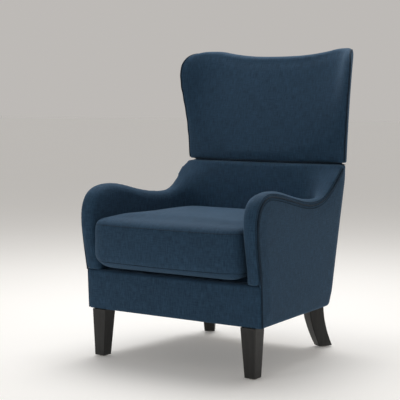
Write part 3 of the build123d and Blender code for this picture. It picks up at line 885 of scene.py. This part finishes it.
def make_front_rail_cover():
    low, high = BASE_Z + 0.8 * MM, RAIL_TOP_Z + 2 * MM
    rings = []
    for z in linspace(low, high, 36):
        lean = -6 * MM * (z - BASE_Z) / (RAIL_TOP_Z - BASE_Z)
        half = side_x(FRONT_Y, z) - 0.5 * MM
        plan = box_plan(half, FRONT_Y + 0.5 * MM + lean, FRONT_Y + 2 * MM + lean,
                            -300 * MM, 9 * MM)
        plan = inset_plan(plan, edge_inset(z, low, high, 4 * MM, 12 * MM))
        plan[:, 0] = np.clip(plan[:, 0], -half + 1 * MM, half - 1 * MM)
        rings.append(at_height(plan, z))
    deck_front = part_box("deck_cloth")[0].y
    border = box_plan(308 * MM, -314 * MM, -314 * MM, deck_front + 8 * MM, 4 * MM)
    border = [at_height(border, RAIL_TOP_Z - drop) for drop in (15 * MM, 1 * MM)]
    piece = joined("front_rail_upholstery",
                   lofted("rail_form", rings), lofted("border_form", border))
    remesh(piece, 4.5 * MM, 2)
    _, y, z = half_places(piece)
    held = ramp(10 * MM, 3 * MM, np.minimum(z - low, high - z)) + (y > -316 * MM)
    inflate(piece, PRESSURE, 3 * MM, held)
    upholster(subdivide(piece), "frame", 0.9, "front_rail_cover")


# ---- upper back
NOSE_Z = TOP_OUTLINE[3][1] - WING_NOSE
FRONT_POINTS = 160  # points across the front of each plan
WING_FLARE = np.array([9.0, -8.5]) * MM  # padding beyond the wing boards, on the left wing
UNDER_ROUND, UNDER_DEPTH = 42 * MM, 22 * MM  # height and depth of the turn under the front edge


def wing_flare(z):
    """How far the edge of the left wing stands out beyond its outline at height z."""
    return WING_FLARE * (0.4 + 0.6 * ramp(700 * MM, 980 * MM, z))


def upper_ceiling(co):
    """Height of the top of the upper back over each point, wing noses included."""
    outline = curve(TOP_OUTLINE, 200)
    across = np.maximum.accumulate(outline[:, 0])
    top = np.interp(np.abs(co[:, 0]), across, outline[:, 1])
    ahead = np.clip(WING_NOSE_Y - co[:, 1], 0, WING_NOSE * 0.999)
    nose = NOSE_Z + np.sqrt(WING_NOSE**2 - ahead**2)
    return np.minimum(top, nose) + 4 * MM


def upper_floor(co):
    """Height of its underside: flat ahead of the hinge, round about the hinge behind it."""
    behind = np.clip(co[:, 1] - HINGE_Y, 0, HINGE_ROUND)
    turned = HINGE_Z - np.sqrt(HINGE_ROUND**2 - behind**2)
    return np.where(co[:, 1] > HINGE_Y, turned, UPPER_Z)


def upper_plan(z):
    """Closed plan of the upper back at height z: across the front, round a wing, along the rear."""
    front = spline(UPPER_LEVELS, UPPER_FRONT, [z])[0]
    outer = spline(UPPER_LEVELS, UPPER_OUTER, [z])[0]
    front[-1] = outer[0] = outer[0] + wing_flare(z)
    front = curve(np.vstack([front[::-1] * (-1, 1), front[1:]]), FRONT_POINTS)
    outer = curve(outer, 34)
    rear = [(x, outer[-1][1]) for x in linspace(outer[-1][0], -outer[-1][0], 60)[1:-1]]
    return eased_ring(np.vstack([front, outer[1:], rear, outer[:0:-1] * (-1, 1)]))


def make_upper_back():
    rings = []
    for z in np.concatenate([
        UPPER_Z + UNDER_ROUND * (1 - np.cos(np.radians(linspace(0, 90, 12)))),
        linspace(UPPER_Z + UNDER_ROUND, TOP_Z, 100)[1:],
    ]):
        plan = upper_plan(z)
        above = min(1.0, (z - UPPER_Z) / UNDER_ROUND)
        shift = UNDER_DEPTH * (1 - sqrt(1 - (1 - above) ** 2))
        ahead = ramp(300 * MM, 270 * MM, plan[:, 1])
        plan = inset_plan(plan, 1 * MM)
        outermost = ramp(250 * MM, 325 * MM, np.abs(plan[:, 0]))
        plan[:, 1] += shift * ahead * (1 - 0.75 * outermost)
        plan[:, 0] *= 1 - 0.1 * shift / FRONT_HALF
        rings.append(at_height(plan, z))
    # the top and the underside close towards a line midway between front and rear
    for closing, ring in ((True, rings[-1]), (False, rings[0])):
        front = ring[:FRONT_POINTS]
        rear = np.vstack([ring[FRONT_POINTS - 1:], ring[:1]])[::-1]
        middle = (np.interp(ring[:, 0], front[:, 0], front[:, 1])
                  + np.interp(ring[:, 0], rear[:, 0], rear[:, 1])) / 2
        for share in (0.25, 0.5, 0.75, 1.0):
            narrower = ring.copy()
            narrower[:, 1] += (middle - ring[:, 1]) * share
            rings.insert(len(rings) if closing else 0, narrower)
    co = np.reshape(rings, (-1, 3))
    co[:, 2] = np.clip(co[:, 2], upper_floor(co) + 1 * MM, upper_ceiling(co) - 1 * MM)
    piece = lofted("upper_back_upholstery", co.reshape(np.shape(rings)), capped=False)
    remesh(piece, VOXEL, 5)
    held = ramp(UPPER_Z + 18 * MM, UPPER_Z + 6 * MM, coords(piece)[:, 2])
    held += ramp(0.2, 0.6, normals(piece)[:, 1])
    inflate(piece, PRESSURE, 5 * MM, held)
    x, _, z = half_places(piece)
    soften(piece, ramp(UPPER_Z + 8 * MM, UPPER_Z + 40 * MM, z), 8)
    soften(piece, ramp(960 * MM, 1000 * MM, z) * ramp(290 * MM, 335 * MM, x), 25)
    co = coords(piece)
    co[:, 2] = np.clip(co[:, 2], upper_floor(co) + 0.3 * MM, TOP_Z + 2 * MM)
    # its ends come down square on the split
    ends = ramp(295 * MM, 315 * MM, np.abs(co[:, 0])) * (co[:, 1] < HINGE_Y)
    drop = ramp(UPPER_Z + 16 * MM, UPPER_Z + 2 * MM, co[:, 2]) * ends
    co[:, 2] += (UPPER_Z + 0.3 * MM - co[:, 2]) * 0.7 * drop
    set_coords(piece, co)
    return upholster(subdivide(piece), "upper_back", 0.85, "upper_back_pad", "upper_rear_panel")


# ---- seat cushion
SEAT_LOW, SEAT_HIGH = (corner.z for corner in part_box("seat_cushion_cover"))
TOP_SEAM_Z, LOW_SEAM_Z = 464 * MM, 330 * MM
CROWN = 11 * MM  # rise of the cushion's top from its edge to its middle
OVERHANG = 12 * MM  # lift of its underside ahead of the front rail


def cushion_plan(inset=0.0):
    plan = box_plan(290.5 * MM, -396 * MM, -381 * MM, SEAT_REAR - 1 * MM, 34 * MM,
                        half_rear=SEAT_HALF_REAR, rear_corner=SEAT_CORNER)
    return inset_plan(plan, inset)


def make_seat_cushion():
    """Box cushion with a crowned top and low edges that turn well under."""
    low, edge_top = SEAT_LOW + 0.5 * MM, 483 * MM
    base = cushion_plan(1 * MM)
    middle = np.array([0, base[:, 1].mean()])
    levels = [(low, share) for share in linspace(0.1, 1, 12)[:-1]]
    levels += [(z, 1.0) for z in linspace(low, edge_top, 44)]
    levels += [(edge_top + CROWN * (1 - share**2), share)
               for share in np.cos(np.radians(linspace(0, 86, 18)))[1:]]
    solid = []
    for z, share in levels:
        under = np.array([edge_inset(min(z, edge_top), low, edge_top, *radii)
                          for radii in ((46 * MM, 20 * MM), (36 * MM, 34 * MM))])
        plan = middle + (base - middle) * (1 - under / (288 * MM)) * share
        solid.append(at_height(plan, z))
    piece = lofted("seat_cushion", solid)
    remesh(piece, VOXEL, 2)
    x, y, z = half_places(piece)
    edge = np.minimum(np.abs(z - TOP_SEAM_Z), np.abs(z - LOW_SEAM_Z))
    inside = (x < 265 * MM) & (y > -340 * MM) & (y < 180 * MM)
    held = 0.75 * ramp(7 * MM, 2 * MM, edge) * ~inside
    held[z < SEAT_LOW + 6 * MM] = 1.0
    inflate(piece, SEAT_PRESSURE, 8 * MM, held)
    soften(piece, ramp(TOP_SEAM_Z - 40 * MM, TOP_SEAM_Z - 10 * MM, coords(piece)[:, 2]), 10)
    x, y, z = coords(piece).T
    overhang = ramp(-325 * MM, -385 * MM, y) * ramp(400 * MM, 320 * MM, z)
    half = inner_x(y) - 2.2 * MM
    set_coords(piece, np.column_stack([
        np.clip(x, -half, half),
        np.clip(y, -403 * MM, SEAT_REAR - 0.5 * MM),
        np.clip(z + OVERHANG * overhang, SEAT_LOW + 0.5 * MM, SEAT_HIGH + 3 * MM),
    ]))
    return upholster(subdivide(piece), "seat_cushion", 0.8,
                     "seat_cushion_cover", "seat_cushion_core")


# ---- piping and stitching
def surface_of(*pieces):
    """Search tree over some pieces, so that cords can lie on them."""
    verts, faces = [], []
    for piece in pieces:
        base = len(verts)
        verts += [tuple(v) for v in coords(piece)]
        faces += [[base + i for i in face.vertices] for face in piece.data.polygons]
    return BVHTree.FromPolygons(verts, faces)


def laid(surface, path, lift):
    """The path moved onto the surface and lifted off it a little, and the normals there."""
    spots, outs = (np.array(found) for found in zip(*(
        surface.find_nearest(Vector(point))[:2] for point in path)))
    return spots + outs * lift, outs


def both_sides(path):
    return (("left", path), ("right", path * (-1, 1, 1)))


def make_arm_trim(surface):
    """Piping along the outer seam of each arm, with stitching on either side of it."""
    seam = curve(SIDE_SEAM, 260)[:-6]
    crest = curve(ARM_CREST, 260)
    across = np.array([crest[np.argmin(norm(crest - s, axis=1))] for s in seam]) - seam
    across /= norm(across, axis=1, keepdims=True)
    for side, path in both_sides(np.array([(side_x(y, z), y, z) for y, z in seam])):
        welt = eased(path + np.array([0.8 * MM if side == "left" else -0.8 * MM, 0, 0]), 6)
        # the welt takes the darkened piping cloth: painted shade of the crease along it
        welt = attach(tube(f"arm_piping_{side}", welt, WELT), "frame", SHADED_PIPING)
        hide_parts(f"arm_welt_{side}")
        for row, reach in (("top", 10 * MM), ("side", -10 * MM)):
            near = path.copy()
            near[:, 1:] += across * reach
            near, outs = laid(surface, near, 0.1 * MM)
            thread = stitches(f"arm_stitches_{row}_{side}", eased(near, 3), outs)
            # the stitches take the darkened thread cloth: painted shade of the stitch grooves
            attach(thread, "frame", SHADED_THREAD)


def make_corner_piping():
    """Piping down each front corner, between the rail cover and the side panel, and down each
    seam of the rear panel."""
    lean = 6 * MM / (RAIL_TOP_Z - BASE_Z)
    corner = [(side_x(FRONT_Y, z) + 0.2 * MM, -318 * MM - lean * (z - BASE_Z), z)
              for z in linspace(RAIL_TOP_Z + 2 * MM, BASE_Z + 3 * MM, 40)]
    rear = [(REAR_SEAM_X - 0.8 * MM, rear_y(z) - 3.2 * MM, z)
            for z in linspace(BASE_Z + 3 * MM, SPLIT_Z - 4 * MM, 60)]
    for name, path in (("corner", corner), ("rear", rear)):
        for side, line in both_sides(np.array(path)):
            # the corner and rear welts take the darkened piping cloth: painted shade of the creases
            # along them
            attach(tube(f"{name}_piping_{side}", line, WELT * 0.8), "frame", SHADED_PIPING)


def make_wing_piping(surface):
    """Piping up the outer edge of each wing, over its nose and back along the top."""
    levels = linspace(UPPER_Z + 3 * MM, NOSE_Z, 90)
    edge = spline(UPPER_LEVELS, UPPER_OUTER, levels)[:, 0]
    path = [(*(point + wing_flare(z)), z) for point, z in zip(edge, levels)]
    for angle in np.radians(linspace(0, 90, 30))[1:]:
        x = np.interp(degrees(angle), [0, 90], [366 * MM, 336 * MM])
        path.append((x, WING_NOSE_Y - WING_NOSE * cos(angle),
                     NOSE_Z + WING_NOSE * sin(angle)))
    for side, line in both_sides(resample(np.array(path), 220)):
        line, _ = laid(surface, line, 0.8 * MM)
        # the wing welt takes the darkened piping cloth: painted shade of the crease along it
        welt = attach(tube(f"wing_piping_{side}", eased(line, 40), WELT), "upper_back", SHADED_PIPING)
        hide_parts(f"wing_welt_{side}")


def make_cushion_piping(surface):
    plan = cushion_plan()
    plan = resample(np.vstack([plan, plan[:1]]), 421)[:-1]
    for name, z in (("top", TOP_SEAM_Z), ("bottom", LOW_SEAM_Z)):
        ring = eased_ring(laid(surface, at_height(plan, z), 0.2 * MM)[0])
        half = inner_x(ring[:, 1]) - 3.2 * MM
        ring[:, 0] = np.clip(ring[:, 0], -half, half)
        ring[:, 1] = np.minimum(ring[:, 1], SEAT_REAR - 2 * MM)
        piece = tube(f"cushion_seam_{name}", ring, 1.5 * MM, sides=8, closed=True)
        # the seam cords take the darkened seam cloth: painted shade of the seam crease
        attach(piece, "seat_cushion", SHADED_SEAM)


# ---- cloth under and between
DECK_TURN = 20 * MM  # how far the deck cloth turns down over the front of its padding
CLOTH = 0.8 * MM


def make_cloth(name, node, half_width, drop, sag, slot, turn_down=0.0, **facts):
    """Cloth pulled tight in the place of a CAD node, as wide as half_width says at each y,
    sagging a little and turned down over its front edge."""
    low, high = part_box(node)
    columns, rows, bend = 60, 50, 0.03
    verts = []
    for v in np.concatenate([linspace(0, bend, 8)[:-1], linspace(bend, 1, rows - 7)]):
        y = low.y + (high.y - low.y) * v
        turned = turn_down * (1 - ramp(0, bend, v))
        for u in linspace(-1, 1, columns):
            fall = sag * (cos(pi * u / 2) * sin(pi * v)) ** 0.6 + turned
            verts.append((half_width(y) * u, y, high.z - drop - fall))
    cloth = solidify(new_object(name, verts, grid_faces(rows, columns)), CLOTH)
    attach(cloth, "frame", FINISHES[slot])
    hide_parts(node)


def make_deck_padding():
    """Foam and felt under the deck cloth, as one soft slab on the springs."""
    low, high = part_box("deck_felt")[0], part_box("deck_pad")[1]
    front = low.y + DECK_TURN
    plan = box_plan(high.x, front, front, high.y, 12 * MM)
    slab = lofted("deck_padding", [
        at_height(inset_plan(plan, CLOTH + edge_inset(z, low.z, high.z, 5 * MM, 7 * MM)), z)
        for z in linspace(low.z, high.z - CLOTH, 12)
    ])
    upholster(slab, "frame", 0.95, "deck_pad", "deck_felt", slot="foam")


def make_cloths():
    deck_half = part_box("deck_cloth")[1].x
    make_cloth("deck_cover", "deck_cloth", lambda y: deck_half, 0.3 * MM, 1.2 * MM, "upholstery",
               DECK_TURN, rests_on=["deck_padding"])

    def half_width(y):
        return outline_x(y, BASE_Z) - 9 * MM

    low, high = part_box("dust_cover")
    area = 2 * (high.y - low.y) * float(np.mean(half_width(linspace(low.y, high.y, 101))))
    make_cloth("base_cloth", "dust_cover", half_width, 0.1 * MM, 0.3 * MM, "lining_cloth",
               area=area, rests_on=["front_seat_rail", "rear_seat_rail"])


def make_gusset():
    """Folded strip in the split between the fixed back and the upper back."""
    inset, depth, half = 13 * MM, 18 * MM, 323 * MM
    plan = [(x, BACK_FRONT_Y + inset + 27 * MM * (abs(x) / half) ** 3)
            for x in linspace(-half, half, 60)]
    side = [(half - (y - 254 * MM) * 0.25, y) for y in linspace(258 * MM, 292 * MM, 8)]
    path = resample(np.array([(-x, y) for x, y in reversed(side)] + plan + side), 120)
    along = np.gradient(path, axis=0)
    along /= norm(along, axis=1, keepdims=True)
    inward = np.stack([-along[:, 1], along[:, 0]], axis=1)
    low, high = SPLIT_Z - 3 * MM, UPPER_Z + 3 * MM
    leaves = np.array([
        at_height(path + inward * (depth * (1 - abs(2 * share - 1))), low + (high - low) * share)
        for share in linspace(0, 1, 13)
    ])
    piece = new_object("split_bellows", leaves.reshape(-1, 3), grid_faces(*leaves.shape[:2]))
    # the gusset takes the darkened piping cloth: painted shade of the narrow split
    attach(piece, None, SHADED_PIPING)
    arc_lengths(path)[-1]
    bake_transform(piece)
    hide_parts("split_gusset")


# ---- studio
FLOOR, FLOOR_HALF = (0.88, 0.87, 0.85), 40.0
FLOOR_GLOW = 0.17  # evens the floor out against the wall, like a light table
WALL = (0.51, 0.49, 0.47)
EYE, TARGET, LENS = (2.265, -3.424, 0.879), (-0.076, -0.046, 0.530), 106.9


def aimed(name, data, place, target):
    """A lamp or camera in its place, looking at target."""
    made = linked(name, data)
    made.location = place
    made.rotation_euler = (Vector(target) - Vector(place)).to_track_quat("-Z", "Y").to_euler()
    return made


def make_studio():
    corners = [(x * FLOOR_HALF, y * FLOOR_HALF, 0) for x, y in ((-1, -1), (1, -1), (1, 1), (-1, 1))]
    floor = new_object("floor", corners, [(0, 1, 2, 3)])
    made, tree, shader = material("floor")
    cloud = noise(tree, own_place(tree), 1.5)
    feed(tree, shader, {
        "Base Color": mixed(tree, cloud, [c * 0.97 for c in FLOOR], FLOOR),
        "Roughness": 0.8, "Emission Color": (*FLOOR, 1), "Emission Strength": FLOOR_GLOW,
    })
    floor.data.materials.append(made)

    world = bpy.context.scene.world = bpy.data.worlds.new("studio")
    world.use_nodes = True
    tree = world.node_tree
    way = add(tree, "TexCoord").outputs["Generated"]
    way = add(tree, "SeparateXYZ", {"Vector": way}).outputs["Y"]
    colour = mixed(tree, ranged(tree, way, -0.6, 0.5), [c * 0.50 for c in WALL], WALL)
    feed(tree, tree.nodes["Background"], {"Color": colour})

    middle, lap = (0, 0, 0.5), (0, 0.21, 0.545)
    for name, place, target, width, height, spread, power in (
        ("window", (-0.5, 0.70, 3.0), middle, 2.2, 2.2, 180, 72.0),
        ("room", (3.0, -7.8, 2.4), middle, 4.0, 4.0, 180, 41.0),
        ("bounce", (-1.4, -3.8, 1.0), middle, 1.5, 1.5, 180, 16.0),
        ("strip", (0.3, -2.8, 1.0), lap, 0.5, 0.05, 8, 0.07),
    ):
        lamp = bpy.data.lights.new(name, "AREA")
        lamp.shape = "RECTANGLE"
        lamp.size, lamp.size_y = width, height
        lamp.spread = radians(spread)
        lamp.energy = power
        aimed(name, lamp, place, target)


def make_camera():
    data = bpy.data.cameras.new("camera")
    data.sensor_width, data.lens = 36.0, LENS
    bpy.context.scene.camera = aimed("camera", data, EYE, TARGET)


# ---- build
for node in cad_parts.values():
    for place in node.material_slots:
        wanted = place.material.name.split(".")[0]
        place.material = FINISHES.get(wanted, place.material)
inside = make_inside_upholstery()
panels = make_outside_panels()
make_front_rail_cover()
upper = make_upper_back()
cushion = make_seat_cushion()
make_arm_trim(surface_of(inside, *panels))
make_corner_piping()
make_wing_piping(surface_of(upper))
make_cushion_piping(surface_of(cushion))
make_deck_padding()
make_cloths()
make_gusset()
make_studio()
make_camera()
bpy.context.scene.view_settings.view_transform = "Standard"
